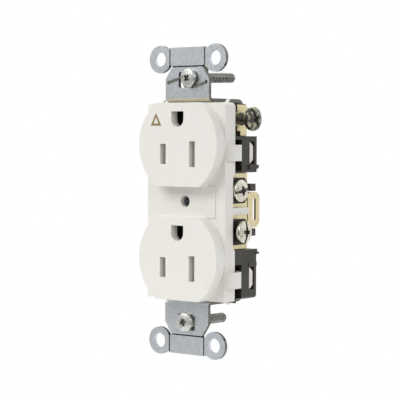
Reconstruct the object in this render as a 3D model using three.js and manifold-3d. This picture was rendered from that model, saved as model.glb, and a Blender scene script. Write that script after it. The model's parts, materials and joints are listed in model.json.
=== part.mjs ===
// Duplex wall outlet: two grounding outlets in one moulded cover, a moulded base behind it,
// and a steel strap that wraps round the back of both and carries the plaster ears.
// Millimetres. +X is right seen from the room, +Y runs into the wall, +Z is up.
// The origin is the middle of the plane where the strap ears rest on the wall.

import * as THREE from "three";
import Module from "manifold-3d";
import { mergeVertices } from "three/addons/utils/BufferGeometryUtils.js";

const wasm = await Module();
wasm.setup();

// Cover
const FACE_Y = -6.6;
const PANEL_Y = -1.9;
const OUTLET_Z = 19.45;
const FACE_R = 17.05;
const FACE_HALF_H = 14.3;
const FACE_WALL = 3.4;
const COVER_HALF_W = 17;
const COVER_HALF_H = 33.75;
const COVER_REAR = 3.7;
const COVER_WALL = 1.6;
const NOTCH_REAR = 2.6;
const NOTCH_TOP = 9.6;
const NOTCH_BOTTOM = -16.6;
const PAD_HALF_W = 13;
const PLATE_SCREW_HOLE_R = 2;

// Slots of one outlet, measured from the outlet centre
const SLOT_X = 6.35;
const SLOT_DROP = 3.2;
const SLOT_W = 2.5;
const NEUTRAL_SLOT_H = 8.7;
const HOT_SLOT_H = 6.9;
const PIN_RISE = 8.7;
const PIN_W = 5.4;
const PIN_H = 5.3;

// Snap arms that hold the cover to the base, and small ribs on its top and bottom walls
const ARM_Z = [16.7, -26.6];
const ARM_HALF_H = 2.75;
const ARM_TIP_HALF_H = 3.6;
const RIB_X = 14.1;
const RIB_HALF_W = 0.5;
const RIB_RISE = 1.25;

// Base
const BASE_HALF_W = 16.3;
const BASE_FRONT_HALF_W = 15.1;
const BASE_HALF_H = 33.6;
const BASE_FRONT_HALF_H = 31.9;
const BASE_FRONT = -0.1;
const BASE_SHOULDER = 3.9;
const BASE_REAR = 17;
const BASE_REAR_HALF_W = 11.5;

// Strap
const STRAP_T = 1.3;
const STRAP_HALF_W = 9.5;
const STRAP_FRONT_BEND_R = 1.2;
const STRAP_REAR_BEND_R = 2.4;
const WRAP_Z = 34.6;
const WRAP_Y = 17.85;
const SCREW_SLOT_Z = 41.65;
const SCREW_SLOT_HALF_W = 3.7;
const SCREW_SLOT_HALF_H = 2.8;
const BAR_HALF_W = 7.5;
const BAR_TOP = 52.8;
const EAR_X = 12;
const EAR_Z = 48.9;
const EAR_R = 4.75;
const EAR_HOLE_R = 2.5;
const SCORE_DEPTH = 0.45;
const STAPLE_HOLE_X = 8.2;
const STAPLE_HOLE_Z = 40.85;
const STAPLE_WIRE_R = 0.34;

// Terminals
const TERMINAL_MIDDLE_Z = -3.2;
const TERMINAL_RISE = 7.05;
const TERMINAL_Y = 6.6;
const TERMINAL_PLATE_X = 14.6;
const TERMINAL_PLATE_T = 0.8;
const TERMINAL_SHANK_R = 2.05;
const TERMINAL_HEAD_R = 3.85;
const TERMINAL_HEAD_H = 1.9;
const TERMINAL_SHANK_L = 6;
const CLAMP_T = 0.85;
const CLAMP_HALF_H = 4.4;
const SLACK_OUT = 0.8;
const LOOSE_SCREW_OUT = 2.4;
const LOOSE_CLAMP_OUT = 1;

// Ground terminal
const GROUND_PLATE_X = 14;
const GROUND_SCREW_Y = 11.4;
const GROUND_SCREW_Z = 28.3;
const GROUND_HEAD_R = 4.1;
const GROUND_HEAD_UNDER_X = 18.3;
const GROUND_SHANK_L = 7.4;

// Blade contacts
const LEAF_T = 0.7;
const LEAF_GAP = 1.6;
const LEAF_FRONT = -2.9;
const LEAF_REAR = 13.1;
const LEAF_HALF_H = 3.65;

// Mounting screws
const MOUNT_SHANK_R = 1.75;
const MOUNT_HEAD_R = 3.18;
const MOUNT_HEAD_H = 1.8;
const MOUNT_SHANK_L = 22.9;
const MOUNT_HEAD_UNDER_Y = -1.6;
const TOP_SCREW_AT = [1.45, 42.25];
const TOP_SCREW_LEAN = [0.05, 1, 0.03];
const BOTTOM_SCREW_AT = [0, -41.65];
const BOTTOM_SCREW_LEAN = [-0.045, 1, -0.02];

const WHITE = 0xe6e4df;
const BLACK = 0x3a3733;
const BRASS = 0xcdbf88;
const STEEL = 0xaeb4ba;
const NICKEL = 0xd8d5cf;
const BRASS_SCREW = 0xc9a85a;
const GREEN = 0x1f2b1c;
const FIBRE = 0x6b6258;
const GOLD = 0x9a8a4a;

// ---- solid helpers ----

function signedVolume(position, index) {
  const a = new THREE.Vector3();
  const b = new THREE.Vector3();
  const c = new THREE.Vector3();
  let sum = 0;
  for (let i = 0; i < index.length; i += 3) {
    a.fromArray(position, 3 * index[i]);
    b.fromArray(position, 3 * index[i + 1]);
    c.fromArray(position, 3 * index[i + 2]);
    sum += a.dot(b.cross(c));
  }
  return sum;
}

function solid(geometry) {
  const plain = geometry.clone();
  plain.deleteAttribute("normal");
  plain.deleteAttribute("uv");
  const merged = mergeVertices(plain, 1e-4);
  const position = new Float32Array(merged.attributes.position.array);
  const index = new Uint32Array(merged.index.array);
  if (signedVolume(position, index) < 0) index.reverse();
  return new wasm.Manifold(
    new wasm.Mesh({ numProp: 3, vertProperties: position, triVerts: index }),
  );
}

function toGeometry(body) {
  const mesh = body.getMesh();
  const geometry = new THREE.BufferGeometry();
  const position = new Float32Array(mesh.vertProperties);
  geometry.setAttribute("position", new THREE.BufferAttribute(position, 3));
  geometry.setIndex(new THREE.BufferAttribute(new Uint32Array(mesh.triVerts), 1));
  geometry.computeVertexNormals();
  return geometry;
}

function join(parts) {
  return parts.reduce((whole, part) => whole.add(part));
}

function cut(body, tools) {
  return tools.reduce((rest, tool) => rest.subtract(tool), body);
}

function box(x0, x1, y0, y1, z0, z1) {
  const geometry = new THREE.BoxGeometry(Math.abs(x1 - x0), y1 - y0, z1 - z0);
  geometry.translate((x0 + x1) / 2, (y0 + y1) / 2, (z0 + z1) / 2);
  return solid(geometry);
}

// A flat outline pushed along one axis. The outline is in the other two axes, in x, y, z order.
function prism(axis, from, to, outline) {
  const shape = new THREE.Shape(outline.map(([u, v]) => new THREE.Vector2(u, v)));
  const geometry = new THREE.ExtrudeGeometry(shape, { depth: to - from, bevelEnabled: false });
  const turn = new THREE.Matrix4();
  if (axis === "x") turn.set(0, 0, 1, from, 1, 0, 0, 0, 0, 1, 0, 0, 0, 0, 0, 1);
  if (axis === "y") turn.set(1, 0, 0, 0, 0, 0, -1, to, 0, 1, 0, 0, 0, 0, 0, 1);
  if (axis === "z") turn.makeTranslation(0, 0, from);
  geometry.applyMatrix4(turn);
  return solid(geometry);
}

// A round bar along one axis, centred at (a, b) in the other two.
function rod(axis, radius, from, to, a, b, sides = 28) {
  const geometry = new THREE.CylinderGeometry(radius, radius, to - from, sides);
  const middle = (from + to) / 2;
  if (axis === "x") geometry.rotateZ(-Math.PI / 2).translate(middle, a, b);
  if (axis === "y") geometry.translate(a, middle, b);
  if (axis === "z") geometry.rotateX(Math.PI / 2).translate(a, b, middle);
  return solid(geometry);
}

function roundedOutline(u0, u1, v0, v1, radius, steps = 5) {
  const corners = [
    [u1 - radius, v0 + radius, -Math.PI / 2],
    [u1 - radius, v1 - radius, 0],
    [u0 + radius, v1 - radius, Math.PI / 2],
    [u0 + radius, v0 + radius, Math.PI],
  ];
  const points = [];
  for (const [u, v, start] of corners) {
    for (let i = 0; i <= steps; i++) {
      const angle = start + (Math.PI / 2) * (i / steps);
      points.push([u + radius * Math.cos(angle), v + radius * Math.sin(angle)]);
    }
  }
  return points;
}

// Stands a piece drawn along +Z so that its +Z points along a direction, at a place.
function stand(geometry, direction, at) {
  const to = new THREE.Vector3(...direction).normalize();
  const turn = new THREE.Quaternion().setFromUnitVectors(new THREE.Vector3(0, 0, 1), to);
  geometry.applyQuaternion(turn);
  geometry.translate(...at);
  return geometry;
}

function mirrored(geometry) {
  const other = geometry.clone();
  other.scale(-1, 1, 1);
  return toGeometry(solid(other));
}

// ---- cover ----

// A circle of the outlet face with its top and bottom cut flat.
function faceOutline(radius, halfHeight, centreZ) {
  const steps = 22;
  const reach = Math.asin(halfHeight / radius);
  const points = [];
  for (const side of [0, Math.PI]) {
    for (let i = 0; i <= steps; i++) {
      const angle = side - reach + (2 * reach * i) / steps;
      points.push([radius * Math.cos(angle), centreZ + radius * Math.sin(angle)]);
    }
  }
  return points;
}

// The ground pin hole: flat on top, round below.
function pinOutline(centreZ) {
  const steps = 12;
  const half = PIN_W / 2;
  const bottom = centreZ - PIN_H / 2;
  const points = [];
  for (let i = 0; i <= steps; i++) {
    const angle = Math.PI + (Math.PI * i) / steps;
    points.push([half * Math.cos(angle), bottom + half + half * Math.sin(angle)]);
  }
  points.push([half, bottom + PIN_H]);
  points.push([-half, bottom + PIN_H]);
  return points;
}

function outletHoles(centreZ) {
  const front = FACE_Y - 1;
  const back = FACE_Y + FACE_WALL + 0.6;
  const slotZ = centreZ - SLOT_DROP;
  const half = SLOT_W / 2;
  const neutral = NEUTRAL_SLOT_H / 2;
  const hot = HOT_SLOT_H / 2;
  return [
    box(SLOT_X - half, SLOT_X + half, front, back, slotZ - neutral, slotZ + neutral),
    box(-SLOT_X - half, -SLOT_X + half, front, back, slotZ - hot, slotZ + hot),
    prism("y", front, back, pinOutline(centreZ + PIN_RISE)),
  ];
}

// One snap arm on the right side: a bowed leaf with a barbed head.
function snapArm(centreZ) {
  const leaf = prism("z", centreZ - ARM_HALF_H, centreZ + ARM_HALF_H, [
    [16.2, -1.7], [16.9, -1.7], [17.7, -1.2], [18.3, -0.2], [18.6, 1.2], [18.6, 4.4],
    [18.2, 5.8], [17.3, 7], [16, 7.8], [14.9, 8.3], [14.9, 13.4], [13.6, 13.4], [13.6, 7.7],
    [14.9, 6.9], [16.2, 5.9], [16.8, 4.9], [16.9, 3.2], [16.2, 3.2],
  ]);
  const head = prism("x", 13.6, 15.9, [
    [13.05, centreZ - ARM_TIP_HALF_H],
    [13.9, centreZ - ARM_TIP_HALF_H],
    [15.4, centreZ - 2.3],
    [15.4, centreZ + 2.3],
    [13.9, centreZ + ARM_TIP_HALF_H],
    [13.05, centreZ + ARM_TIP_HALF_H],
  ]);
  return leaf.add(head);
}

function notchOutline() {
  const slope = 1;
  return [
    [NOTCH_REAR, NOTCH_BOTTOM + slope],
    [COVER_REAR + 0.5, NOTCH_BOTTOM - 0.5],
    [COVER_REAR + 0.5, NOTCH_TOP + 0.5],
    [NOTCH_REAR, NOTCH_TOP - slope],
  ];
}

// A triangle outline for the mark, at a distance from its stroke's middle line.
function markOutline(grow) {
  const centreX = -9.45;
  const bottomZ = 26.3;
  const halfW = 1.75;
  const height = 3.25;
  return [
    [centreX - halfW - 1.75 * grow, bottomZ - grow],
    [centreX + halfW + 1.75 * grow, bottomZ - grow],
    [centreX, bottomZ + height + 2.05 * grow],
  ];
}

function markRing(halfStroke, from, to) {
  const outer = prism("y", from, to, markOutline(halfStroke));
  return outer.subtract(prism("y", from - 1, to + 1, markOutline(-halfStroke)));
}

// A small rib that leans back over the top wall of the cover, near a corner.
function leaningRib(x) {
  const root = COVER_HALF_H - 0.3;
  const top = COVER_HALF_H + RIB_RISE;
  return prism("x", x - RIB_HALF_W, x + RIB_HALF_W, [
    [1.5, root], [2.7, root], [4.3, top], [3.5, top],
  ]);
}

function faceCover() {
  const w = COVER_HALF_W;
  const h = COVER_HALF_H;
  const blocks = [prism("y", PANEL_Y, COVER_REAR, roundedOutline(-w, w, -h, h, 1.6))];
  const inner = COVER_WALL;
  const cavity = roundedOutline(-w + inner, w - inner, -h + inner, h - inner, 0.8);
  for (const side of [-1, 1]) {
    blocks.push(sideBox(side, w - 1.6, w, PANEL_Y, COVER_REAR, -h, -h + 1.6));
  }
  const cuts = [prism("y", PANEL_Y + inner, COVER_REAR + 1, cavity)];
  for (const centreZ of [OUTLET_Z, -OUTLET_Z]) {
    blocks.push(prism("y", FACE_Y, 0, faceOutline(FACE_R - 0.05, FACE_HALF_H, centreZ)));
    const hollow = faceOutline(FACE_R - 1.9, FACE_HALF_H - 1.8, centreZ);
    cuts.push(prism("y", FACE_Y + FACE_WALL, PANEL_Y + inner + 0.4, hollow));
    cuts.push(...outletHoles(centreZ));
  }
  blocks.push(box(-PAD_HALF_W, PAD_HALF_W, PANEL_Y - 0.3, PANEL_Y + 0.3, -5.4, 5.4));
  cuts.push(rod("y", PLATE_SCREW_HOLE_R, PANEL_Y - 1, PANEL_Y + inner + 1, 0, 0));
  for (const side of [-1, 1]) {
    const from = side > 0 ? 15 : -18;
    cuts.push(prism("x", from, from + 3, notchOutline()));
  }
  let body = cut(join(blocks), cuts);
  const middle = TERMINAL_MIDDLE_Z;
  for (const side of [-1, 1]) {
    body = body.add(box(side * 14.1, side * 16.3, 1.2, 12.6, middle - 1.2, middle + 1.2));
    body = body.add(box(side * 15.6, side * 16.9, 0.2, 2.5, middle - 1.2, middle + 1.2));
  }
  for (const centreZ of ARM_Z) {
    const arm = snapArm(centreZ);
    body = body.add(arm);
    body = body.add(solid(mirrored(toGeometry(arm))));
  }
  const ribs = leaningRib(RIB_X).add(leaningRib(-RIB_X));
  const upsideDown = toGeometry(ribs).rotateY(Math.PI);
  body = join([body, ribs, solid(upsideDown)]);
  body = body.subtract(markRing(0.36, FACE_Y - 1, FACE_Y + 0.6));
  return toGeometry(body);
}

function groundMark() {
  return toGeometry(markRing(0.21, FACE_Y + 0.03, FACE_Y + 0.43));
}

// ---- base ----

function sideBox(side, x0, x1, y0, y1, z0, z1) {
  return box(side * x0, side * x1, y0, y1, z0, z1);
}

// Cuts on one side of the base: terminal recess, arm channels and windows, contact chamber.
function sideCuts(side) {
  const out = BASE_HALF_W + 0.2;
  const cuts = [sideBox(side, 13.6, out, -0.3, 17.3, -16.6, 10)];
  cuts.push(sideBox(side, BASE_REAR_HALF_W, out, 12.6, 17.3, 3.2, 10));
  cuts.push(sideBox(side, BASE_REAR_HALF_W, out, 12.6, 17.3, -16.6, -9.4));
  cuts.push(sideBox(side, 13, out, 13.4, 17.3, -9.5, 3.3));
  cuts.push(sideBox(side, 13.2, out, BASE_SHOULDER - 0.1, 8.4, 10.4, 21.2));
  cuts.push(sideBox(side, 13.2, out, BASE_SHOULDER - 0.1, 8.4, -33, -21.6));
  for (const centreZ of ARM_Z) {
    cuts.push(sideBox(side, 13.2, 15.1, 8.2, 15.7, centreZ - 3.9, centreZ + 3.9));
    cuts.push(sideBox(side, 13.2, out, 12.85, 15.7, centreZ - 3.9, centreZ + 3.9));
  }
  cuts.push(sideBox(side, 4.5, 8.9, -0.3, 14.4, 8.7, 21));
  cuts.push(sideBox(side, 4.5, 8.9, -0.3, 14.4, -27.4, -15.1));
  cuts.push(sideBox(side, 8.7, 14, -0.3, 13.5, 8.7, 10));
  cuts.push(sideBox(side, 8.7, 14, -0.3, 13.5, -16.6, -15.3));
  for (const rise of [TERMINAL_RISE, -TERMINAL_RISE]) {
    const z = TERMINAL_MIDDLE_Z + rise;
    const ends = side > 0 ? [9, out] : [-out, -9];
    cuts.push(rod("x", 2.6, ends[0], ends[1], TERMINAL_Y, z));
  }
  return cuts;
}

// Small blocks outside the recesses: posts behind the terminals, ledges under the windows,
// nibs at the rear edge and a thin flange under the cover.
function sideBlocks(side) {
  return [
    sideBox(side, BASE_REAR_HALF_W - 0.3, 15.9, 13.9, BASE_REAR, 3.5, 6),
    sideBox(side, BASE_REAR_HALF_W - 0.3, 15.9, 13.9, BASE_REAR, -12, -9.5),
    sideBox(side, 16, 16.9, 12.2, BASE_REAR, 11.1, 12.6),
    sideBox(side, 16, 16.5, 12.4, BASE_REAR, -22.5, -21),
    sideBox(side, 15.4, 16.7, BASE_REAR - 0.5, BASE_REAR + 0.8, 11.5, 12.5),
    sideBox(side, 15.2, 16.1, BASE_REAR - 0.5, BASE_REAR + 0.9, -18.2, -16.6),
    sideBox(side, 15.4, 16.6, BASE_REAR - 0.5, BASE_REAR + 1.2, -18.4, -17.6),
    sideBox(side, STRAP_HALF_W + 0.3, 17.1, COVER_REAR + 0.02, COVER_REAR + 0.6, -34.4, -33),
  ];
}

// Room for the ground contact, which lies on the front of the base.
function groundCuts() {
  const cuts = [box(-3.6, 3.6, -0.3, 1.4, -14.2, 31.4)];
  cuts.push(rod("y", 4.9, -0.3, 1.4, 0, 0, 36));
  for (const centreZ of [OUTLET_Z + PIN_RISE, -OUTLET_Z + PIN_RISE]) {
    cuts.push(box(-3.6, 3.6, 1.2, 12.4, centreZ - 2.7, centreZ + 2.7));
  }
  cuts.push(box(3.4, 16.5, -0.3, 1.4, 25.4, 31));
  cuts.push(box(13, 16.5, -0.3, 17.3, 22.4, 34));
  cuts.push(box(BASE_REAR_HALF_W, 16.5, 12, 17.3, 22.4, 34));
  cuts.push(rod("x", 2.6, 7, 14, GROUND_SCREW_Y, GROUND_SCREW_Z));
  return cuts;
}

// The rear corner of the base under a bend of the strap is cut away on a slant.
function strapRelief(endZ) {
  const w = STRAP_HALF_W + 0.3;
  const inward = endZ > 0 ? -1 : 1;
  return prism("x", -w, w, [
    [BASE_REAR - 1.5, endZ - 0.1 * inward],
    [BASE_REAR + 0.1, endZ + 1.5 * inward],
    [BASE_REAR + 0.1, endZ - 0.1 * inward],
  ]);
}

function backBody() {
  const w = BASE_HALF_W;
  const h = BASE_HALF_H;
  const fw = BASE_FRONT_HALF_W;
  const fh = BASE_FRONT_HALF_H;
  const rear = prism("y", BASE_SHOULDER, BASE_REAR, roundedOutline(-w, w, -h, h, 1.2));
  const front = prism("y", BASE_FRONT, BASE_SHOULDER + 1, roundedOutline(-fw, fw, -fh, fh, 0.8));
  const cuts = [...sideCuts(1), ...sideCuts(-1), ...groundCuts()];
  cuts.push(rod("y", 2.85, -1, BASE_REAR + 1, 0, 0));
  for (const end of [h, -h]) {
    cuts.push(strapRelief(end));
  }
  const body = cut(rear.add(front), cuts);
  return toGeometry(join([body, ...sideBlocks(1), ...sideBlocks(-1)]));
}

// ---- strap ----

// The outline of a strip of sheet whose middle line has square corners, each bent to a radius.
function stripOutline(path, thickness, bends) {
  const middle = [];
  const steps = 6;
  const at = (i) => new THREE.Vector2(...path[i]);
  const last = path.length - 1;
  middle.push([at(0), at(1).sub(at(0)).normalize()]);
  for (let i = 1; i < last; i++) {
    const a = at(i - 1).sub(at(i)).normalize();
    const b = at(i + 1).sub(at(i)).normalize();
    const bend = bends[i - 1];
    const centre = at(i).addScaledVector(a, bend).addScaledVector(b, bend);
    for (let k = 0; k <= steps; k++) {
      const angle = (Math.PI / 2) * (k / steps);
      const c = Math.cos(angle);
      const s = Math.sin(angle);
      const point = centre.clone().addScaledVector(b, -bend * c).addScaledVector(a, -bend * s);
      middle.push([point, b.clone().multiplyScalar(s).addScaledVector(a, -c)]);
    }
  }
  middle.push([at(last), at(last).sub(at(last - 1)).normalize()]);
  const edge = (sign) =>
    middle.map(([p, t]) => [p.x - (sign * t.y * thickness) / 2, p.y + (sign * t.x * thickness) / 2]);
  return [...edge(1), ...edge(-1).reverse()];
}

// The front plate at the top: full width, a taper, then the bar with its two ears.
function earPlate() {
  const w = STRAP_HALF_W;
  const plate = prism("y", -STRAP_T, 0, [
    [-w, 38], [w, 38], [w, 41.9], [6.8, 46], [6.8, 46.5], [BAR_HALF_W, 46.9],
    [BAR_HALF_W, BAR_TOP], [-BAR_HALF_W, BAR_TOP], [-BAR_HALF_W, 46.9],
    [-6.8, 46.5], [-6.8, 46], [-w, 41.9],
  ]);
  const parts = [plate];
  const cuts = [];
  for (const side of [-1, 1]) {
    parts.push(rod("y", EAR_R, -STRAP_T, 0, side * EAR_X, EAR_Z, 40));
    parts.push(sideBox(side, 7, 9.6, -STRAP_T, 0, 47.5, 52.6));
    cuts.push(rod("y", EAR_HOLE_R, -STRAP_T - 1, 1, side * EAR_X, EAR_Z));
    cuts.push(sideBox(side, 7.4, 7.8, -STRAP_T - 1, -STRAP_T + SCORE_DEPTH, 46, 54));
  }
  cuts.push(box(-8, 8, -STRAP_T - 1, -STRAP_T + SCORE_DEPTH, 46.05, 46.45));
  return cut(join(parts), cuts);
}

function screwSlot(centreZ) {
  const w = SCREW_SLOT_HALF_W;
  const h = SCREW_SLOT_HALF_H;
  return prism("y", -STRAP_T - 1, 1, roundedOutline(-w, w, centreZ - h, centreZ + h, 0.8));
}

function mountingStrap() {
  const front = -STRAP_T / 2;
  const outline = stripOutline(
    [
      [front, 39], [front, WRAP_Z], [WRAP_Y, WRAP_Z],
      [WRAP_Y, -WRAP_Z], [front, -WRAP_Z], [front, -39],
    ],
    STRAP_T,
    [STRAP_FRONT_BEND_R, STRAP_REAR_BEND_R, STRAP_REAR_BEND_R, STRAP_FRONT_BEND_R],
  );
  const wrap = prism("x", -STRAP_HALF_W, STRAP_HALF_W, outline);
  const top = earPlate();
  const lower = toGeometry(top);
  lower.rotateY(Math.PI);
  const body = join([wrap, top, solid(lower)]);
  const cuts = [screwSlot(SCREW_SLOT_Z), screwSlot(-SCREW_SLOT_Z)];
  for (const side of [-1, 1]) {
    cuts.push(rod("y", 0.65, -3, 1, side * STAPLE_HOLE_X, STAPLE_HOLE_Z, 16));
  }
  cuts.push(rod("y", 2.9, 15, 20, 0, 0));
  return toGeometry(cut(body, cuts));
}

// A line through points with its corners rounded.
function roundedPath(points, radius) {
  const path = new THREE.CurvePath();
  const at = points.map((p) => new THREE.Vector3(...p));
  let from = at[0];
  for (let i = 1; i < at.length - 1; i++) {
    const before = at[i].clone().add(at[i - 1].clone().sub(at[i]).setLength(radius));
    const after = at[i].clone().add(at[i + 1].clone().sub(at[i]).setLength(radius));
    path.add(new THREE.LineCurve3(from, before));
    path.add(new THREE.QuadraticBezierCurve3(before, at[i], after));
    from = after;
  }
  path.add(new THREE.LineCurve3(from, at[at.length - 1]));
  return path;
}

// The wire staple: out of one strap hole, through the screw slot, back into the other hole.
function groundingStaple() {
  const x = STAPLE_HOLE_X;
  const z = STAPLE_HOLE_Z;
  const path = roundedPath(
    [
      [-x, 2, z], [-x, -1.72, z], [-3.35, -1.72, 42.3], [-2.5, -0.65, 42.2],
      [-1.6, -0.65, 39.3], [2.5, -0.65, 39.25], [3.4, -1.72, 39.25], [x, -1.72, z], [x, 2, z],
    ],
    0.35,
  );
  const ring = new THREE.Shape();
  ring.absarc(0, 0, STAPLE_WIRE_R, 0, 2 * Math.PI);
  const options = { steps: 90, curveSegments: 4, extrudePath: path };
  return toGeometry(solid(new THREE.ExtrudeGeometry(ring, options)));
}

// ---- screws ----

// A screw drawn along +Z: the underside of its head is at z = 0, its shank runs down.
function screw(headR, headH, shankR, shankL, recessTurn) {
  const profile = [
    [0, -shankL], [shankR - 0.45, -shankL], [shankR, -shankL + 0.45], [shankR, 0],
    [headR - 0.1, 0], [headR, 0.12], [headR, 0.48 * headH], [0.93 * headR, 0.72 * headH],
    [0.74 * headR, 0.9 * headH], [0.4 * headR, 0.99 * headH], [0, headH],
  ];
  const points = profile.map(([r, z]) => new THREE.Vector2(r, z));
  const turned = new THREE.LatheGeometry(points, 32);
  turned.rotateX(Math.PI / 2);
  const slotW = 0.16 * headR;
  const floor = 0.45 * headH;
  const top = headH + 1;
  const recess = [
    box(-headR - 1, headR + 1, -slotW, slotW, floor, top),
    box(-0.55 * headR, 0.55 * headR, -1.5 * slotW, 1.5 * slotW, floor - 0.2, top),
    box(-1.5 * slotW, 1.5 * slotW, -0.55 * headR, 0.55 * headR, floor - 0.2, top),
  ];
  const geometry = toGeometry(cut(solid(turned), recess));
  return geometry.rotateZ(recessTurn);
}

function terminalScrew(side, rise, out, recessTurn) {
  const under = TERMINAL_PLATE_X + 0.25 + CLAMP_T + 0.1 + out;
  const r = TERMINAL_HEAD_R;
  const geometry = screw(r, TERMINAL_HEAD_H, TERMINAL_SHANK_R, TERMINAL_SHANK_L, recessTurn);
  return stand(geometry, [side, 0, 0], [side * under, TERMINAL_Y, TERMINAL_MIDDLE_Z + rise]);
}

function groundScrew() {
  const geometry = screw(GROUND_HEAD_R, 2, TERMINAL_SHANK_R, GROUND_SHANK_L, 0.5);
  return stand(geometry, [1, 0, 0], [GROUND_HEAD_UNDER_X, GROUND_SCREW_Y, GROUND_SCREW_Z]);
}

function mountingScrew(at, lean, recessTurn) {
  const r = MOUNT_HEAD_R;
  const geometry = screw(r, MOUNT_HEAD_H, MOUNT_SHANK_R, MOUNT_SHANK_L, recessTurn);
  const out = lean.map((v) => -v);
  return stand(geometry, out, [at[0], MOUNT_HEAD_UNDER_Y, at[1]]);
}

// A square fibre washer on the shank, 4.7 mm behind the head's underside.
function retainingWasher(at, lean) {
  const body = prism("z", -5.5, -4.7, roundedOutline(-3.9, 3.9, -3.9, 3.9, 1));
  const geometry = toGeometry(body.subtract(rod("z", 1.95, -7, -3, 0, 0)));
  const out = lean.map((v) => -v);
  return stand(geometry, out, [at[0], MOUNT_HEAD_UNDER_Y, at[1]]);
}

function groundWasher() {
  const from = GROUND_HEAD_UNDER_X - 0.65;
  const disc = rod("x", 3.9, from, from + 0.5, GROUND_SCREW_Y, GROUND_SCREW_Z, 32);
  const hole = rod("x", 2.3, from - 1, from + 2, GROUND_SCREW_Y, GROUND_SCREW_Z);
  return toGeometry(disc.subtract(hole));
}

// The wire clamp plate under a terminal screw head.
function clampPlate(side, rise, out) {
  const z = TERMINAL_MIDDLE_Z + rise;
  const h = CLAMP_HALF_H;
  const inner = TERMINAL_PLATE_X + 0.25 + out;
  const outline = [
    [3, z - h], [9.8, z - h], [11.2, z - h + 1.4],
    [11.2, z + h - 1.4], [9.8, z + h], [3, z + h],
  ];
  const plate = prism("x", inner, inner + CLAMP_T, outline);
  const hole = rod("x", TERMINAL_SHANK_R + 0.25, inner - 1, inner + 2, TERMINAL_Y, z);
  const geometry = toGeometry(plate.subtract(hole));
  return side > 0 ? geometry : mirrored(geometry);
}

// ---- contacts ----

// A blade contact: two leaves with a closed back, joined to its side plate by a bridge.
function bladeContact(slotZ, bridgeZ) {
  const inner = SLOT_X - LEAF_GAP / 2;
  const outer = SLOT_X + LEAF_GAP / 2;
  const z0 = slotZ - LEAF_HALF_H;
  const z1 = slotZ + LEAF_HALF_H;
  const spineLow = Math.min(bridgeZ - 0.35, z0);
  const spineHigh = Math.max(bridgeZ + 0.35, z1);
  return [
    box(inner - LEAF_T, inner, LEAF_FRONT, LEAF_REAR, z0, z1),
    box(outer, outer + LEAF_T, LEAF_FRONT, LEAF_REAR, z0, z1),
    box(inner - LEAF_T, outer + LEAF_T, LEAF_REAR - LEAF_T, LEAF_REAR, z0, z1),
    box(outer, outer + LEAF_T, 6, LEAF_REAR, spineLow, spineHigh),
    box(outer, TERMINAL_PLATE_X, 6, LEAF_REAR, bridgeZ - 0.35, bridgeZ + 0.35),
  ];
}

// The loop of sheet that ties the two side plates together and can be broken off.
function breakOffTab() {
  const from = TERMINAL_PLATE_X - TERMINAL_PLATE_T;
  const to = TERMINAL_PLATE_X;
  const loop = prism("x", from, to, [
    [15.1, -9.3], [19.3, -9.3], [21.1, -7.3], [21.1, 0.8], [20.8, 1.9], [20, 2.7], [18.9, 3.1],
    [15.1, 3.1], [14.25, 2.3], [14.25, -8.5],
  ]);
  const slot = prism("x", from - 1, to + 1, roundedOutline(17.2, 18.9, -6.9, 1, 0.7));
  const necks = [
    box(from, to, 13.1, 14.8, 1.1, 2.6),
    box(from, to, 13.1, 14.8, -8.8, -7.3),
  ];
  return join([loop.subtract(slot), ...necks]);
}

function sideContact() {
  const from = TERMINAL_PLATE_X - TERMINAL_PLATE_T;
  const to = TERMINAL_PLATE_X;
  const upperSlot = OUTLET_Z - SLOT_DROP;
  const lowerSlot = -OUTLET_Z - SLOT_DROP;
  const parts = [
    box(from, to, 3, 13.85, -2, 9.8),
    box(from, to, 3, 13.85, -16.4, -4.5),
    breakOffTab(),
    ...bladeContact(upperSlot, 9.45),
    ...bladeContact(lowerSlot, -16.05),
  ];
  const holes = [TERMINAL_RISE, -TERMINAL_RISE].map((rise) =>
    rod("x", TERMINAL_SHANK_R + 0.25, 12, 16, TERMINAL_Y, TERMINAL_MIDDLE_Z + rise),
  );
  return toGeometry(cut(join(parts), holes));
}

// The ground contact: a flat spine with a pin socket at each outlet and the side terminal.
function groundContact() {
  const upper = OUTLET_Z + PIN_RISE;
  const lower = -OUTLET_Z + PIN_RISE;
  const plateFrom = GROUND_PLATE_X - TERMINAL_PLATE_T;
  const parts = [
    box(-3.15, 3.15, 0.3, 1.1, lower - 2.9, upper + 2.9),
    rod("y", 4.5, 0.3, 1.1, 0, 0, 36),
    box(2.5, GROUND_PLATE_X, 0.3, 1.1, 25.8, 30.6),
    box(plateFrom, GROUND_PLATE_X, 0.3, 9.5, 25.8, 30.6),
    prism("x", plateFrom, GROUND_PLATE_X, [
      [8.8, 24.2], [10.6, 24.2], [10.6, 22.6], [14.3, 22.6], [14.3, 26],
      [14.9, 26.6], [14.9, 32], [13.7, 33.2], [8.8, 33.2],
    ]),
  ];
  const holes = [rod("y", 3.2, -1, 2, 0, 0)];
  for (const z of [upper, lower]) {
    for (const side of [-1, 1]) {
      parts.push(sideBox(side, 2.5, 3.15, 0.5, 11.5, z - 2.2, z + 2.2));
    }
    holes.push(rod("y", 2.5, -1, 2, 0, z));
  }
  holes.push(rod("x", TERMINAL_SHANK_R + 0.25, 12, 16, GROUND_SCREW_Y, GROUND_SCREW_Z));
  return toGeometry(cut(join(parts), holes));
}

// ---- centre rivet ----

// The hollow rivet through the middle, threaded inside for the wall plate screw.
function centreRivet() {
  const tube = rod("y", 2.6, 0, 19.4, 0, 0);
  const flange = rod("y", 4, 18.7, 19.4, 0, 0);
  return toGeometry(tube.add(flange).subtract(rod("y", 1.75, -1, 21, 0, 0)));
}

// ---- assembly ----

const group = new THREE.Group();

function place(name, geometry, colour, roughness, metalness) {
  const material = new THREE.MeshStandardMaterial({ color: colour, roughness, metalness });
  const mesh = new THREE.Mesh(geometry, material);
  mesh.name = name;
  group.add(mesh);
}

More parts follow.
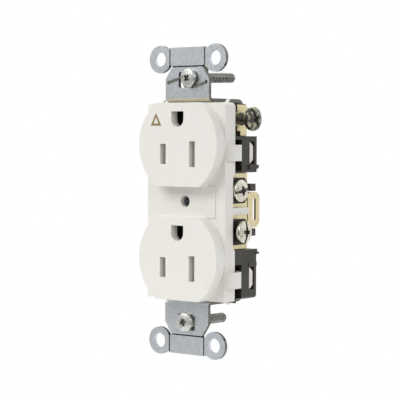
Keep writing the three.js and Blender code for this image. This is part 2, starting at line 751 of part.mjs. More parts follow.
place("face_cover", faceCover(), WHITE, 0.45, 0);
place("ground_mark", groundMark(), GOLD, 0.6, 0);
place("back_body", backBody(), BLACK, 0.55, 0);
place("mounting_strap", mountingStrap(), STEEL, 0.4, 1);
place("grounding_staple", groundingStaple(), STEEL, 0.35, 1);
place("centre_rivet", centreRivet(), STEEL, 0.4, 1);
place("neutral_contact", sideContact(), BRASS, 0.35, 1);
place("hot_contact", mirrored(sideContact()), BRASS, 0.35, 1);
place("ground_contact", groundContact(), BRASS, 0.35, 1);

const terminals = [
  ["neutral", "upper", 1, TERMINAL_RISE, SLACK_OUT, SLACK_OUT, 1.76],
  ["neutral", "lower", 1, -TERMINAL_RISE, LOOSE_SCREW_OUT, LOOSE_CLAMP_OUT, -0.07],
  ["hot", "upper", -1, TERMINAL_RISE, 0, 0, 0.7],
  ["hot", "lower", -1, -TERMINAL_RISE, 0, 0, 1.1],
];
for (const [line, level, side, rise, out, clampOut, turn] of terminals) {
  const colour = line === "neutral" ? NICKEL : BRASS_SCREW;
  place(`${line}_clamp_${level}`, clampPlate(side, rise, clampOut), BLACK, 0.5, 1);
  place(`${line}_screw_${level}`, terminalScrew(side, rise, out, turn), colour, 0.3, 1);
}
place("ground_washer", groundWasher(), GREEN, 0.5, 1);
place("ground_screw", groundScrew(), GREEN, 0.4, 1);

const mountings = [
  ["top", TOP_SCREW_AT, TOP_SCREW_LEAN, 0.8],
  ["bottom", BOTTOM_SCREW_AT, BOTTOM_SCREW_LEAN, 0.3],
];
for (const [level, at, lean, turn] of mountings) {
  place(`retaining_washer_${level}`, retainingWasher(at, lean), FIBRE, 0.9, 0);
  place(`mounting_screw_${level}`, mountingScrew(at, lean, turn), STEEL, 0.35, 1);
}

export default group;
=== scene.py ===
"""Looks of the duplex wall outlet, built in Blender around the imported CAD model.

Every finished piece is made from the node it stands for, or from that node's box, and rides on
the same body. Lengths are in metres; MM turns millimetres into metres."""

import json
import math
from collections import namedtuple

import bmesh
import bpy
from mathutils import Matrix, Vector


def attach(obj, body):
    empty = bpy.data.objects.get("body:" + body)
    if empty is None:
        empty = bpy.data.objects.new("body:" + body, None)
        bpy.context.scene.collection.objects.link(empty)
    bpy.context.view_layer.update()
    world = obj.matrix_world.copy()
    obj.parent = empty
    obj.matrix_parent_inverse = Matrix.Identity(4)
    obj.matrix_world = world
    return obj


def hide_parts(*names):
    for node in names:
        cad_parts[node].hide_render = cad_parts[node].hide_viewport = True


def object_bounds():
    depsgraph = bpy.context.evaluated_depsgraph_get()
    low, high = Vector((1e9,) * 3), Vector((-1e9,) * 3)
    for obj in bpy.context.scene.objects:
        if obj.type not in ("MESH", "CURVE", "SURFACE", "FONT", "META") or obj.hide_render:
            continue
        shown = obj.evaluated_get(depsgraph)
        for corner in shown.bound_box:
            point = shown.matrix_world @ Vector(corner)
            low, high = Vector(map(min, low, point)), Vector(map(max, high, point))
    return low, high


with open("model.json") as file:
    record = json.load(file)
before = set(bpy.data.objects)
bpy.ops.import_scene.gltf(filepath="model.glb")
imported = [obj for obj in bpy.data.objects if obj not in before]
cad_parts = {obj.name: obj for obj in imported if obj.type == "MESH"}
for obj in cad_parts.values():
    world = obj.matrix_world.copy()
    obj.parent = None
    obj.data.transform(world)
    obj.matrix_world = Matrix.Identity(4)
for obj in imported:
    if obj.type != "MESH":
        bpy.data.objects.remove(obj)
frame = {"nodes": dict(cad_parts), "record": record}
CAD_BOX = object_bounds()

MM = 0.001
RECORD = frame["record"]
BODY_OF = {
    node: body for body, members in RECORD["behaviour"]["bodies"].items() for node in members
}
JOINTS = {joint["name"]: joint for joint in RECORD["behaviour"]["joints"]}
SLOT_OF = {part["node"]: part["material_slot"] for part in RECORD["subparts"]}

# The photograph's camera, about the middle of the object
VIEW_AZIMUTH = 38.24
VIEW_ELEVATION = 2.34
VIEW_ROLL = 0.172
VIEW_DISTANCE = 0.5258
VIEW_CENTRE = Vector((0, 3.4 * MM, 0))
VIEW_SHIFT = (1.641 * MM, 0.304 * MM)
SENSOR_WIDTH = 36
LENS = 136.8

# Studio: grey values along an axis, from the end it points away from (0) to the one it points at (1)
BACK_LIGHT = [(0.0, 0.62), (0.3, 0.56), (0.55, 0.80), (0.75, 1.05), (1.0, 1.05)]
HEIGHT_LIGHT = [(0.0, 0.95), (0.42, 0.86), (0.5, 0.74), (0.58, 1.0), (1.0, 1.0)]
LENS_SHADE = [(0.0, 1.0), (0.72, 1.0), (0.86, 0.4), (1.0, 0.15)]
LAMPS = [
    ("key", (-0.38, -0.68, 0.66), 0.60, 6.75),
    ("side", (0.80, -0.42, 0.42), 0.40, 2.6),
]
FLOOR_R = 0.25
FLOOR_DROP = 60 * MM

# Directions of the studio's grey values: rise of the lens one and of the back one, and the share
# of the camera's sideways swing that the back one keeps
LENS_TILT = 0.04
BACK_TILT = 0.1
BACK_SIDEWAYS = 0.4

# Cleaning and rounding of CAD meshes; angles in degrees
MERGE_DISTANCE = 0.002 * MM
FLAT_ANGLE = 1.5
EDGE_ANGLE = 34
SMOOTH_ANGLE = 38
SCREW_SMOOTH_ANGLE = 32
WIRE_SMOOTH_ANGLE = 60

# Strap, in millimetres: its upright plates start at a height, and their ears and score lines
# mirror about both planes
STRAP_T = 1.3
STRAP_PLATE_FROM = 36.5
BEND_END = 0.8
EAR_X = 12
EAR_Z = 48.9
EAR_HOLE_R = 2.5
SCORE_X = 7.6
SCORE_Z = 46.25
SCORE_HALF_W = 0.33
EAR_HOLE_RIM = 0.3
BEND_SLOPE = (0.15, 0.97)
# Strap face kinds: plated, bare sheared edge, score line with painted shade, top bend with a painted
# beige reflection of the cover
PLATED, SHEARED, SHADED_SCORE, REFLECTING_BEND = range(4)

# Noise scales of the materials, in cycles a metre
CLOUDS = 120
FLOW_MARKS = 140
GLOSS_PATCHES = 420
OXIDE_CLOUDS = 900
ROLLING_LINES = 900
DRAWN_LINES = 1500
WEAR_PITS = 2400
PITS = 2600
RUST_PITS = 3200
ZINC_GRAIN = 3400
SPARK_GRAIN = 5200

# Screws. The ridge values flatten a V thread's root and crest; ROOT_SHARE of the depth below the
# crest counts as root. HEAD_FOOT lists insets from the head's radius and heights above its foot
THREAD_PITCH = 0.794 * MM
THREAD_DEPTH = 0.42 * MM
THREAD_NECK = 0.6 * MM
THREAD_TIP = 0.8 * MM
TIP_SHARE = 0.62
ROWS_PER_PITCH = 10
SCREW_SIDES = 48
ARC_STEPS = 5
SHOULDER_ROLL = 0.30
HEAD_FOOT = [(0.16 * MM, 0), (0.03 * MM, 0.06 * MM), (0, 0.2 * MM)]
RIDGE_GAIN = 1.35
RIDGE_DROP = 0.12
ROOT_SHARE = 0.12
ROOT_INDEX = 1
RECESS_INDEX = 2

# Recess cutters: half length, half width at the top and half width at the floor, as shares of
# the head radius; a slot's floor is a share of the head height
SLOT_SHAPE = (1.4, 0.12, 0.108)
SLOT_FLOOR = 0.5
CROSS_SHAPE = (0.44, 0.20, 0.11)
FLOOR_REACH = 0.86
CUTTER_PROUD = 0.6 * MM


# ---- mesh helpers ----


def new_object(name, mesh):
    obj = bpy.data.objects.new(name, mesh)
    bpy.context.scene.collection.objects.link(obj)
    return obj


def from_bmesh(name, bm):
    mesh = bpy.data.meshes.new(name)
    bmesh.ops.recalc_face_normals(bm, faces=bm.faces)
    bm.to_mesh(mesh)
    bm.free()
    return new_object(name, mesh)


def shade(obj, angle=SMOOTH_ANGLE):
    """Smooth shading that breaks at edges sharper than an angle in degrees."""
    mesh = obj.data
    for polygon in mesh.polygons:
        polygon.use_smooth = True
    mesh.set_sharp_from_angle(angle=math.radians(angle))
    weighted = obj.modifiers.new("weighted", "WEIGHTED_NORMAL")
    weighted.keep_sharp = True
    weighted.weight = 80
    return obj


def finish_piece(obj, node, *materials):
    """Gives a piece its materials, and puts it in place of a CAD node."""
    for material in materials:
        obj.data.materials.append(material)
    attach(obj, BODY_OF[node])
    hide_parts(node)
    return obj


def node_mesh(node):
    """A clean copy of a CAD node's mesh: doubles merged and flat areas made whole."""
    bm = bmesh.new()
    bm.from_mesh(frame["nodes"][node].data)
    bmesh.ops.remove_doubles(bm, verts=bm.verts, dist=MERGE_DISTANCE)
    bmesh.ops.dissolve_limit(
        bm, angle_limit=math.radians(FLAT_ANGLE), verts=bm.verts, edges=bm.edges, delimit=set()
    )
    return bm


def rounded_node(node, name, radius, segments=2):
    """The node's shape with every edge sharper than EDGE_ANGLE rounded to a radius."""
    bm = node_mesh(node)
    limit = math.radians(EDGE_ANGLE)
    edges = [e for e in bm.edges if e.is_manifold and e.calc_face_angle(0) > limit]
    bmesh.ops.bevel(
        bm,
        geom=edges,
        offset=radius,
        offset_type="OFFSET",
        segments=segments,
        profile=0.5,
        affect="EDGES",
        clamp_overlap=True,
    )
    return shade(from_bmesh(name, bm))


# ---- materials ----


class Nodes:
    """Short calls for building one material's node tree."""

    def __init__(self, name):
        self.material = bpy.data.materials.new(name)
        self.material.use_nodes = True
        self.tree = self.material.node_tree
        self.shader = self.tree.nodes["Principled BSDF"]
        self.coords = self.add("ShaderNodeTexCoord").outputs["Object"]

    def add(self, kind, **values):
        node = self.tree.nodes.new(kind)
        for key, value in values.items():
            setattr(node, key, value)
        return node

    def link(self, source, target):
        self.tree.links.new(source, target)

    def noise(self, scale, detail=4, stretch=(1, 1, 1), roughness=0.55):
        mapping = self.add("ShaderNodeMapping")
        mapping.inputs["Scale"].default_value = stretch
        self.link(self.coords, mapping.inputs["Vector"])
        node = self.add("ShaderNodeTexNoise")
        node.inputs["Scale"].default_value = scale
        node.inputs["Detail"].default_value = detail
        node.inputs["Roughness"].default_value = roughness
        self.link(mapping.outputs["Vector"], node.inputs["Vector"])
        return node.outputs["Fac"]

    def ramp(self, source, stops):
        node = self.add("ShaderNodeValToRGB")
        elements = node.color_ramp.elements
        while len(elements) < len(stops):
            elements.new(0.5)
        for element, (position, colour) in zip(elements, stops):
            element.position = position
            element.color = (*colour, 1)
        self.link(source, node.inputs["Fac"])
        return node.outputs["Color"]

    def multiply(self, one, other):
        node = self.add("ShaderNodeMixRGB", blend_type="MULTIPLY")
        node.inputs["Fac"].default_value = 1
        self.link(one, node.inputs["Color1"])
        self.link(other, node.inputs["Color2"])
        return node.outputs["Color"]

    def span(self, source, low, high):
        node = self.add("ShaderNodeMapRange")
        node.inputs["To Min"].default_value = low
        node.inputs["To Max"].default_value = high
        node.inputs["From Min"].default_value = 0.3
        node.inputs["From Max"].default_value = 0.7
        self.link(source, node.inputs["Value"])
        return node.outputs["Result"]

    def bump(self, source, strength, distance, below=None):
        node = self.add("ShaderNodeBump")
        node.inputs["Strength"].default_value = strength
        node.inputs["Distance"].default_value = distance
        self.link(source, node.inputs["Height"])
        if below is not None:
            self.link(below, node.inputs["Normal"])
        return node.outputs["Normal"]

    def set(self, **values):
        for key, value in values.items():
            self.shader.inputs[key.replace("_", " ")].default_value = value

    def colour(self, source):
        self.link(source, self.shader.inputs["Base Color"])

    def rough(self, source):
        self.link(source, self.shader.inputs["Roughness"])

    def normal(self, source):
        self.link(source, self.shader.inputs["Normal"])


def scaled(colour, factor):
    return tuple(min(1.0, c * factor) for c in colour)


def moulded_plastic(name, colour, low_rough, high_rough, grain, mottle=0.03):
    """Injection moulded nylon: a fine spark-eroded grain with faint flow mottling."""
    n = Nodes(name)
    flow = n.noise(FLOW_MARKS, 3, (1, 1, 0.4))
    n.colour(n.ramp(flow, [(0.3, scaled(colour, 1 - mottle)), (0.7, scaled(colour, 1 + mottle))]))
    n.rough(n.span(n.noise(GLOSS_PATCHES, 5), low_rough, high_rough))
    fine = n.noise(SPARK_GRAIN, 2)
    n.normal(n.bump(fine, grain, 0.03 * MM, n.bump(flow, 0.05, 0.2 * MM)))
    n.set(IOR=1.5)
    n.shader.inputs["Subsurface Weight"].default_value = 0.04
    n.shader.inputs["Subsurface Radius"].default_value = (0.9 * MM, 0.8 * MM, 0.6 * MM)
    n.shader.inputs["Subsurface Scale"].default_value = 1.0
    return n.material


def sheet_metal(name, colour, dark, low_rough, high_rough, stretch, spangle=260):
    """Plated or rolled sheet: cloudy plating, rolling lines along one way, small pits."""
    n = Nodes(name)
    cloud = n.noise(spangle, 6, (1, 1, 1), 0.65)
    n.colour(n.ramp(cloud, [(0.25, dark), (0.5, colour), (0.8, scaled(colour, 1.1))]))
    lines = n.noise(ROLLING_LINES, 5, stretch)
    n.rough(n.span(cloud, low_rough, high_rough))
    pits = n.noise(PITS, 3)
    n.normal(n.bump(pits, 0.10, 0.04 * MM, n.bump(lines, 0.22, 0.05 * MM)))
    n.set(Metallic=1.0)
    return n.material


def dark_metal(name, colour, rough):
    """Dark steel: the staple wire and bare sheared edges; the same material is painted shade in
    screw recesses and score grooves, and makes thread roots darker.
    """
    n = Nodes(name)
    cloud = n.noise(OXIDE_CLOUDS, 4)
    n.colour(n.ramp(cloud, [(0.3, scaled(colour, 0.6)), (0.7, scaled(colour, 1.5))]))
    n.rough(n.span(cloud, rough, rough + 0.15))
    n.normal(n.bump(n.noise(RUST_PITS, 3, (1, 0.15, 1)), 0.25, 0.04 * MM))
    n.set(Metallic=1.0)
    return n.material


def zinc_sheet(name, colour, low_rough, high_rough):
    """Zinc plated strap steel: an even satin grey with a fine grain and a faint cloud."""
    n = Nodes(name)
    cloud = n.noise(CLOUDS, 4, (1, 1, 1), 0.5)
    grain = n.noise(ZINC_GRAIN, 3, (1, 1, 0.5), 0.7)
    base = n.ramp(cloud, [(0.3, scaled(colour, 0.95)), (0.7, scaled(colour, 1.04))])
    speck = n.ramp(grain, [(0.35, (0.80, 0.80, 0.80)), (0.62, (1.04, 1.04, 1.04))])
    n.colour(n.multiply(base, speck))
    n.rough(n.span(grain, low_rough, high_rough))
    lines = n.noise(DRAWN_LINES, 4, (0.05, 1, 1))
    n.normal(n.bump(grain, 0.16, 0.03 * MM, n.bump(lines, 0.12, 0.03 * MM)))
    n.set(Metallic=1.0)
    return n.material


def worn_plating_and_glints(name, dark, mid, bright, low_rough, high_rough, scale=700):
    """Plating in flecks of dark, olive gold and bare metal: a worn speckle on the nickel and zinc
    screws; on the green ground screw the olive gold and bright flecks are painted glints.
    """
    n = Nodes(name)
    fleck = n.noise(scale, 5, (1, 1, 1), 0.62)
    stops = [(0.40, dark), (0.50, scaled(dark, 1.6)), (0.57, mid), (0.68, bright)]
    n.colour(n.ramp(fleck, stops))
    n.rough(n.span(fleck, low_rough, high_rough))
    n.normal(n.bump(n.noise(WEAR_PITS, 3), 0.2, 0.04 * MM, n.bump(fleck, 0.3, 0.06 * MM)))
    n.set(Metallic=1.0)
    return n.material


MATERIALS = {
    "cover_nylon": moulded_plastic("cover_nylon", (0.79, 0.772, 0.725), 0.36, 0.48, 0.10, 0.012),
    "mark_ink": moulded_plastic("mark_ink", (0.30, 0.22, 0.055), 0.45, 0.6, 0.2, 0.12),
    "base_nylon": moulded_plastic("base_nylon", (0.034, 0.030, 0.021), 0.34, 0.52, 0.25, 0.2),
    "strap_zinc": zinc_sheet("strap_zinc", (0.655, 0.69, 0.72), 0.32, 0.46),
    "rivet_zinc": zinc_sheet("rivet_zinc", (0.56, 0.58, 0.60), 0.25, 0.42),
    "staple_wire": dark_metal("staple_wire", (0.21, 0.20, 0.175), 0.3),
    "contact_brass": sheet_metal(
        "contact_brass", (0.80, 0.71, 0.45), (0.66, 0.56, 0.32), 0.26, 0.42, (1, 1, 0.1), 420
    ),
    "clamp_black": sheet_metal(
        "clamp_black", (0.050, 0.046, 0.038), (0.022, 0.021, 0.018), 0.34, 0.55, (1, 1, 0.2)
    ),
    "screw_nickel": worn_plating_and_glints(
        "screw_nickel", (0.55, 0.52, 0.44), (0.66, 0.63, 0.56), (0.76, 0.74, 0.70), 0.20, 0.36, 900
    ),
    "screw_brass": sheet_metal(
        "screw_brass", (0.66, 0.46, 0.17), (0.46, 0.31, 0.11), 0.2, 0.36, (1, 0.3, 1)
    ),
    # Green ground screw: dark green plating with olive gold and bright flecks painted in as glints
    "screw_green": worn_plating_and_glints(
        "screw_green", (0.085, 0.088, 0.078), (0.40, 0.37, 0.26), (0.80, 0.74, 0.54), 0.20, 0.38
    ),
    "screw_zinc": worn_plating_and_glints(
        "screw_zinc", (0.50, 0.50, 0.47), (0.56, 0.57, 0.56), (0.62, 0.63, 0.63), 0.30, 0.46
    ),
    "washer_fibre": moulded_plastic("washer_fibre", (0.16, 0.13, 0.10), 0.7, 0.9, 0.5, 0.2),
}
CUT_EDGE = dark_metal("cut_edge_steel", (0.19, 0.185, 0.17), 0.42)
# Painted shade: dark colour on the screw recess faces
RECESS_SHADE_PAINT = dark_metal("recess_painted_shade", (0.17, 0.16, 0.14), 0.5)
# Thread roots drawn darker than the crests
THREAD_ROOT = dark_metal("thread_root_darker", (0.12, 0.115, 0.095), 0.45)
# Painted shade: near black colour in the strap's score grooves
SCORE_SHADE_PAINT = dark_metal("score_groove_painted_shade", (0.03, 0.028, 0.024), 0.6)
# Painted reflection: beige zinc on the strap's top bend, in place of the cover's reflection
BEND_REFLECTION_PAINT = zinc_sheet("bend_painted_reflection", (0.66, 0.61, 0.50), 0.34, 0.48)


# ---- screws ----


def thread_radius(z, turn, root, crest):
    """The radius of a V thread, flat at root and crest, at a height and a turn angle."""
    phase = (z / THREAD_PITCH - turn / (2 * math.pi)) % 1
    ridge = 1 - abs(2 * phase - 1)
    ridge = min(1.0, max(0.0, RIDGE_GAIN * ridge - RIDGE_DROP))
    return root + (crest - root) * ridge


# Lengths, then shares of the head height: its crown, and the floor of its cross recess
ScrewSize = namedtuple("ScrewSize", "head_r head_h shank_r shank_l crown floor")
TERMINAL = ScrewSize(3.85 * MM, 1.9 * MM, 2.05 * MM, 6.0 * MM, 0.34, 0.36)
GROUND = ScrewSize(4.1 * MM, 2.0 * MM, 2.05 * MM, 7.4 * MM, 0.3, 0.36)
MOUNTING = ScrewSize(3.18 * MM, 1.8 * MM, 1.75 * MM, 22.9 * MM, 0.16, 0.66)


def screw_profile(head_r, head_h, crown):
    """Half outline of a pan head: a wall, a rolled shoulder, then a shallow crown."""
    points = [(head_r - inset, up) for inset, up in HEAD_FOOT]
    roll = SHOULDER_ROLL * head_h
    rim = head_h * (1 - crown) - roll
    points.append((head_r, rim))
    for i in range(1, ARC_STEPS + 1):
        angle = (math.pi / 2) * i / ARC_STEPS
        out = head_r - roll * (1 - math.cos(angle))
        points.append((out, rim + roll * math.sin(angle)))
    edge = head_r - roll
    for i in range(1, ARC_STEPS + 1):
        r = edge * (1 - i / ARC_STEPS)
        points.append((r, head_h * (1 - crown * (r / edge) ** 2)))
    return points


def screw_turns():
    """The angles of a screw's corners, once round."""
    return [2 * math.pi * i / SCREW_SIDES for i in range(SCREW_SIDES)]


def thread_rows(shank_r, shank_l):
    """Rings of points up the shank: a tapered tip, the thread, then a plain neck."""
    rows = []
    root = shank_r - THREAD_DEPTH
    count = max(8, int(shank_l / THREAD_PITCH * ROWS_PER_PITCH))
    for k in range(count + 1):
        z = -shank_l + shank_l * k / count
        lead = min(1.0, TIP_SHARE + (1 - TIP_SHARE) * (z + shank_l) / THREAD_TIP)
        neck = min(1.0, max(0.0, -z / THREAD_NECK))
        ring = []
        for turn in screw_turns():
            r = root * (1 - neck) + thread_radius(z, turn, root, shank_r) * neck
            ring.append((r * lead * math.cos(turn), r * lead * math.sin(turn), z))
        rows.append(ring)
    return rows


def screw_mesh(name, size):
    """A pan head screw along +Z with a real thread, its head's underside at z = 0."""
    rows = thread_rows(size.shank_r, size.shank_l)
    for r, z in screw_profile(size.head_r, size.head_h, size.crown)[:-1]:
        rows.append([(r * math.cos(turn), r * math.sin(turn), z) for turn in screw_turns()])
    bm = bmesh.new()
    grid = [[bm.verts.new(p) for p in ring] for ring in rows]
    for lower, upper in zip(grid, grid[1:]):
        for i in range(SCREW_SIDES):
            j = (i + 1) % SCREW_SIDES
            face = bm.faces.new((lower[i], lower[j], upper[j], upper[i]))
            middle = face.calc_center_median()
            in_root = math.hypot(middle.x, middle.y) < size.shank_r - ROOT_SHARE * THREAD_DEPTH
            face.material_index = ROOT_INDEX if in_root and middle.z < 0 else 0
    bottom = bm.verts.new((0, 0, -size.shank_l))
    top = bm.verts.new((0, 0, size.head_h))
    for i in range(SCREW_SIDES):
        j = (i + 1) % SCREW_SIDES
        bm.faces.new((bottom, grid[0][j], grid[0][i]))
        bm.faces.new((top, grid[-1][i], grid[-1][j]))
    return from_bmesh(name, bm)


def wedge_cutter(bm, half_length, half_top, half_floor, top, floor):
    """A bar along X that gets narrower, and a little shorter, towards its floor."""
    corners = []
    levels = ((floor, half_floor, half_length * FLOOR_REACH), (top, half_top, half_length))
    for z, half, reach in levels:
        for x, y in ((-reach, -half), (reach, -half), (reach, half), (-reach, half)):
            corners.append(bm.verts.new((x, y, z)))
    a, b, c, d, e, f, g, h = corners
    for face in ((a, d, c, b), (e, f, g, h), (a, b, f, e), (b, c, g, f), (c, d, h, g), (d, a, e, h)):
        bm.faces.new(face)


def recess_cutter(kind, size, turned):
    """A slot, or one arm of a cross recess, as a closed cutter."""
    bm = bmesh.new()
    shape, floor = (SLOT_SHAPE, SLOT_FLOOR) if kind == "slot" else (CROSS_SHAPE, size.floor)
    widths = [share * size.head_r for share in shape]
    wedge_cutter(bm, *widths, size.head_h + CUTTER_PROUD, size.head_h * floor)
    bmesh.ops.rotate(bm, verts=bm.verts, cent=(0, 0, 0), matrix=Matrix.Rotation(turned, 3, "Z"))
    # The recess faces carry the painted shade into the cut
    for face in bm.faces:
        face.material_index = RECESS_INDEX
    return from_bmesh(kind, bm)


def carve(obj, cutters, materials):
    """Cuts the cutters out of a piece, whose cut faces keep the cutters' material."""
    for part in (obj, *cutters):
        for material in materials:
            part.data.materials.append(material)
    for cutter in cutters:
        step = obj.modifiers.new("carve", "BOOLEAN")
        step.operation = "DIFFERENCE"
        step.solver = "EXACT"
        step.object = cutter
    graph = bpy.context.evaluated_depsgraph_get()
    mesh = bpy.data.meshes.new_from_object(obj.evaluated_get(graph))
    obj.modifiers.clear()
    obj.data = mesh
    for cutter in cutters:
        bpy.data.objects.remove(cutter)
    return obj


def stand(obj, axis, at):
    """Turns a piece drawn along +Z to point along an axis, at a place."""
    turn = Vector((0, 0, 1)).rotation_difference(Vector(axis))
    obj.data.transform(Matrix.Translation(Vector(at)) @ turn.to_matrix().to_4x4())
    return obj


def make_screw(node, joint, size, kinds, turn):
    """One screw on its hinge's axis, with its recess turned by an angle."""
    obj = screw_mesh(node.replace("screw", "threaded_screw"), size)
    cutters = []
    for kind in kinds:
        across = math.pi / 2 if kind == "cross_b" else 0
        cutters.append(recess_cutter(kind, size, turn + across))
    # Thread roots take the darker root material, recess faces painted shade
    carve(obj, cutters, (MATERIALS[SLOT_OF[node]], THREAD_ROOT, RECESS_SHADE_PAINT))
    hinge = JOINTS[joint]
    stand(obj, hinge["axis"], hinge["pos_m"])
    return finish_piece(shade(obj, SCREW_SMOOTH_ANGLE), node)


CROSS = ("cross_a", "cross_b")
SLOT_AND_CROSS = ("slot", *CROSS)
SCREWS = [
    ("neutral_screw_upper", "neutral_upper_turn", TERMINAL, SLOT_AND_CROSS, 1.76),
    ("neutral_screw_lower", "neutral_lower_turn", TERMINAL, SLOT_AND_CROSS, -0.07),
    ("hot_screw_upper", "hot_upper_turn", TERMINAL, SLOT_AND_CROSS, 0.7),
    ("hot_screw_lower", "hot_lower_turn", TERMINAL, SLOT_AND_CROSS, 1.1),
    ("ground_screw", "ground_turn", GROUND, SLOT_AND_CROSS, 0.5),
    ("mounting_screw_top", "top_turn", MOUNTING, CROSS, 0.8),
    ("mounting_screw_bottom", "bottom_turn", MOUNTING, CROSS, 0.3),
]
for node, joint, size, kinds, turn in SCREWS:
    make_screw(node, joint, size, kinds, turn)


# ---- the other pieces, from their CAD shapes ----

# Node, name of its finished piece, rounding radius in millimetres and rounding segments
ROUNDED = [
    ("face_cover", "moulded_cover", 0.35, 3),
    ("ground_mark", "triangle_mark", 0.04, 1),
    ("back_body", "moulded_base", 0.18, 2),
    ("centre_rivet", "rolled_rivet", 0.15, 2),
    ("neutral_contact", "neutral_bus", 0.10, 2),
    ("hot_contact", "hot_bus", 0.10, 2),
    ("ground_contact", "ground_bus", 0.10, 2),
    ("neutral_clamp_upper", "neutral_pressure_plate_upper", 0.12, 2),
    ("neutral_clamp_lower", "neutral_pressure_plate_lower", 0.12, 2),
    ("hot_clamp_upper", "hot_pressure_plate_upper", 0.12, 2),
    ("hot_clamp_lower", "hot_pressure_plate_lower", 0.12, 2),
    ("ground_washer", "ground_cup_washer", 0.08, 2),
    ("retaining_washer_top", "fibre_washer_top", 0.1, 2),
    ("retaining_washer_bottom", "fibre_washer_bottom", 0.1, 2),
]
for node, name, radius, segments in ROUNDED:
    piece = rounded_node(node, name, radius * MM, segments)
    finish_piece(piece, node, MATERIALS[SLOT_OF[node]])


def strap_index(face):
    """Which material a face of the strap takes: plated, sheared, painted shade in a score line, or a
    painted reflection on the top bend.
    """
    middle = face.calc_center_median() / MM
    x, z = abs(middle.x), abs(middle.z)
    sloping = BEND_SLOPE[0] < -face.normal.y < BEND_SLOPE[1]
    if z < STRAP_PLATE_FROM:
        if abs(face.normal.x) > 0.8:
            return SHEARED
        # Top bend faces take the painted beige reflection
        return REFLECTING_BEND if sloping and middle.y < 1 and middle.z > 0 else PLATED
    if math.hypot(x - EAR_X, z - EAR_Z) < EAR_HOLE_R + EAR_HOLE_RIM:
        return PLATED
    # The score lines' faces get painted shade
    upright = abs(x - SCORE_X) < SCORE_HALF_W and z > SCORE_Z
    if middle.y < -0.4 and (upright or abs(z - SCORE_Z) < SCORE_HALF_W):
        return SHADED_SCORE
    if -STRAP_T + 0.2 < middle.y < -0.2:
        return SHEARED
    # Top bend faces take the painted beige reflection
    return REFLECTING_BEND if sloping and 0 < middle.z < STRAP_PLATE_FROM + BEND_END else PLATED


def make_strap():
    """The strap with softened edges; sheared edges are darker than plating, score lines get painted
    shade and the top bend a painted beige reflection.
    """
    strap = rounded_node("mounting_strap", "stamped_strap", 0.12 * MM)
    bm = bmesh.new()
    bm.from_mesh(strap.data)
    for face in bm.faces:
        face.material_index = strap_index(face)
    bm.to_mesh(strap.data)
    bm.free()
    # Score grooves take painted shade, the top bend a painted reflection
    materials = (MATERIALS["strap_zinc"], CUT_EDGE, SCORE_SHADE_PAINT, BEND_REFLECTION_PAINT)
    return finish_piece(strap, "mounting_strap", *materials)


make_strap()
staple = shade(from_bmesh("spring_staple", node_mesh("grounding_staple")), WIRE_SMOOTH_ANGLE)
finish_piece(staple, "grounding_staple", MATERIALS["staple_wire"])


# ---- stage, light and camera ----


def make_floor():
    """A plain pale floor well below the object, wide enough for every view."""
    floor_material = Nodes("floor_paint")
    floor_material.rough(floor_material.span(floor_material.noise(3, 2), 0.85, 0.95))
    floor_material.set(Base_Color=(0.93, 0.93, 0.93, 1))
    bm = bmesh.new()
    bmesh.ops.create_circle(bm, cap_ends=True, segments=96, radius=FLOOR_R)
    floor = from_bmesh("floor", bm)
    floor.location.z = CAD_BOX[0][2] - FLOOR_DROP
    floor.data.materials.append(floor_material.material)


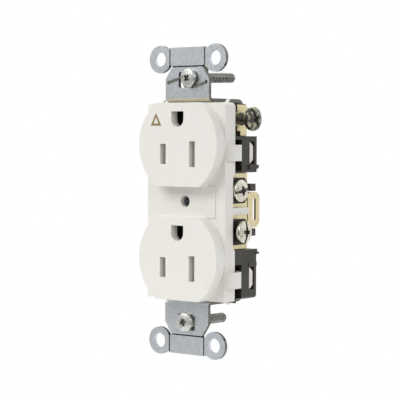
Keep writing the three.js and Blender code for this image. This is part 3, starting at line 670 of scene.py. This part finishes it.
def make_world():
    """A white backdrop, and a studio around it: bright behind, dim in front, dark at the lens."""
    world = bpy.data.worlds.new("studio")
    world.use_nodes = True
    tree = world.node_tree
    background = tree.nodes["Background"]
    direction = tree.nodes.new("ShaderNodeTexCoord").outputs["Generated"]

    def along(axis, low, high, stops):
        """A grey value that follows how far a direction points along an axis."""
        dot = tree.nodes.new("ShaderNodeVectorMath")
        dot.operation = "DOT_PRODUCT"
        dot.inputs[1].default_value = axis
        share = tree.nodes.new("ShaderNodeMapRange")
        share.inputs["From Min"].default_value = low
        share.inputs["From Max"].default_value = high
        ramp = tree.nodes.new("ShaderNodeValToRGB")
        ramp.color_ramp.interpolation = "EASE"
        while len(ramp.color_ramp.elements) < len(stops):
            ramp.color_ramp.elements.new(0.5)
        for element, (position, value) in zip(ramp.color_ramp.elements, stops):
            element.position = position
            element.color = (value, value, value, 1)
        tree.links.new(direction, dot.inputs[0])
        tree.links.new(dot.outputs["Value"], share.inputs["Value"])
        tree.links.new(share.outputs["Result"], ramp.inputs["Fac"])
        return ramp.outputs["Color"]

    def times(one, other):
        node = tree.nodes.new("ShaderNodeMixRGB")
        node.blend_type = "MULTIPLY"
        node.inputs["Fac"].default_value = 1
        tree.links.new(one, node.inputs["Color1"])
        tree.links.new(other, node.inputs["Color2"])
        return node.outputs["Color"]

    azimuth = math.radians(VIEW_AZIMUTH)
    lens = (math.sin(azimuth), -math.cos(azimuth), LENS_TILT)
    back = (-lens[0] * BACK_SIDEWAYS, -lens[1], BACK_TILT)
    room = along(back, -1, 1, BACK_LIGHT)
    height = along((0, 0, 1), -1, 1, HEIGHT_LIGHT)
    dark_lens = along(lens, -1, 1, LENS_SHADE)
    lit = times(times(room, height), dark_lens)
    seen = tree.nodes.new("ShaderNodeMixRGB")
    seen.inputs["Color2"].default_value = (1, 1, 1, 1)
    path = tree.nodes.new("ShaderNodeLightPath")
    tree.links.new(path.outputs["Is Camera Ray"], seen.inputs["Fac"])
    tree.links.new(lit, seen.inputs["Color1"])
    tree.links.new(seen.outputs["Color"], background.inputs["Color"])
    background.inputs["Strength"].default_value = 1.0
    bpy.context.scene.world = world


def make_lights():
    """Soft boxes: a wide key from the front left and above, a weaker one from the right."""
    for name, place, size, watts in LAMPS:
        light = bpy.data.lights.new(name, "AREA")
        light.shape = "SQUARE"
        light.size = size
        light.energy = watts
        lamp = bpy.data.objects.new(name, light)
        lamp.location = place
        lamp.rotation_euler = (VIEW_CENTRE - Vector(place)).to_track_quat("-Z", "Y").to_euler()
        bpy.context.scene.collection.objects.link(lamp)


def make_camera():
    azimuth, elevation, roll = (
        math.radians(v) for v in (VIEW_AZIMUTH, VIEW_ELEVATION, VIEW_ROLL)
    )
    forward = Vector((
        -math.sin(azimuth) * math.cos(elevation),
        math.cos(azimuth) * math.cos(elevation),
        -math.sin(elevation),
    ))
    level = Vector((math.cos(azimuth), math.sin(azimuth), 0))
    upright = level.cross(forward)
    right = level * math.cos(roll) + upright * math.sin(roll)
    up = upright * math.cos(roll) - level * math.sin(roll)
    place = VIEW_CENTRE - forward * VIEW_DISTANCE + level * VIEW_SHIFT[0] + upright * VIEW_SHIFT[1]
    data = bpy.data.cameras.new("camera")
    data.sensor_width = SENSOR_WIDTH
    data.lens = LENS
    camera = bpy.data.objects.new("camera", data)
    turn = Matrix((right, up, -forward)).transposed()
    camera.matrix_world = Matrix.Translation(place) @ turn.to_4x4()
    bpy.context.scene.collection.objects.link(camera)
    bpy.context.scene.camera = camera


make_floor()
make_world()
make_lights()
make_camera()
bpy.context.scene.view_settings.view_transform = "Standard"
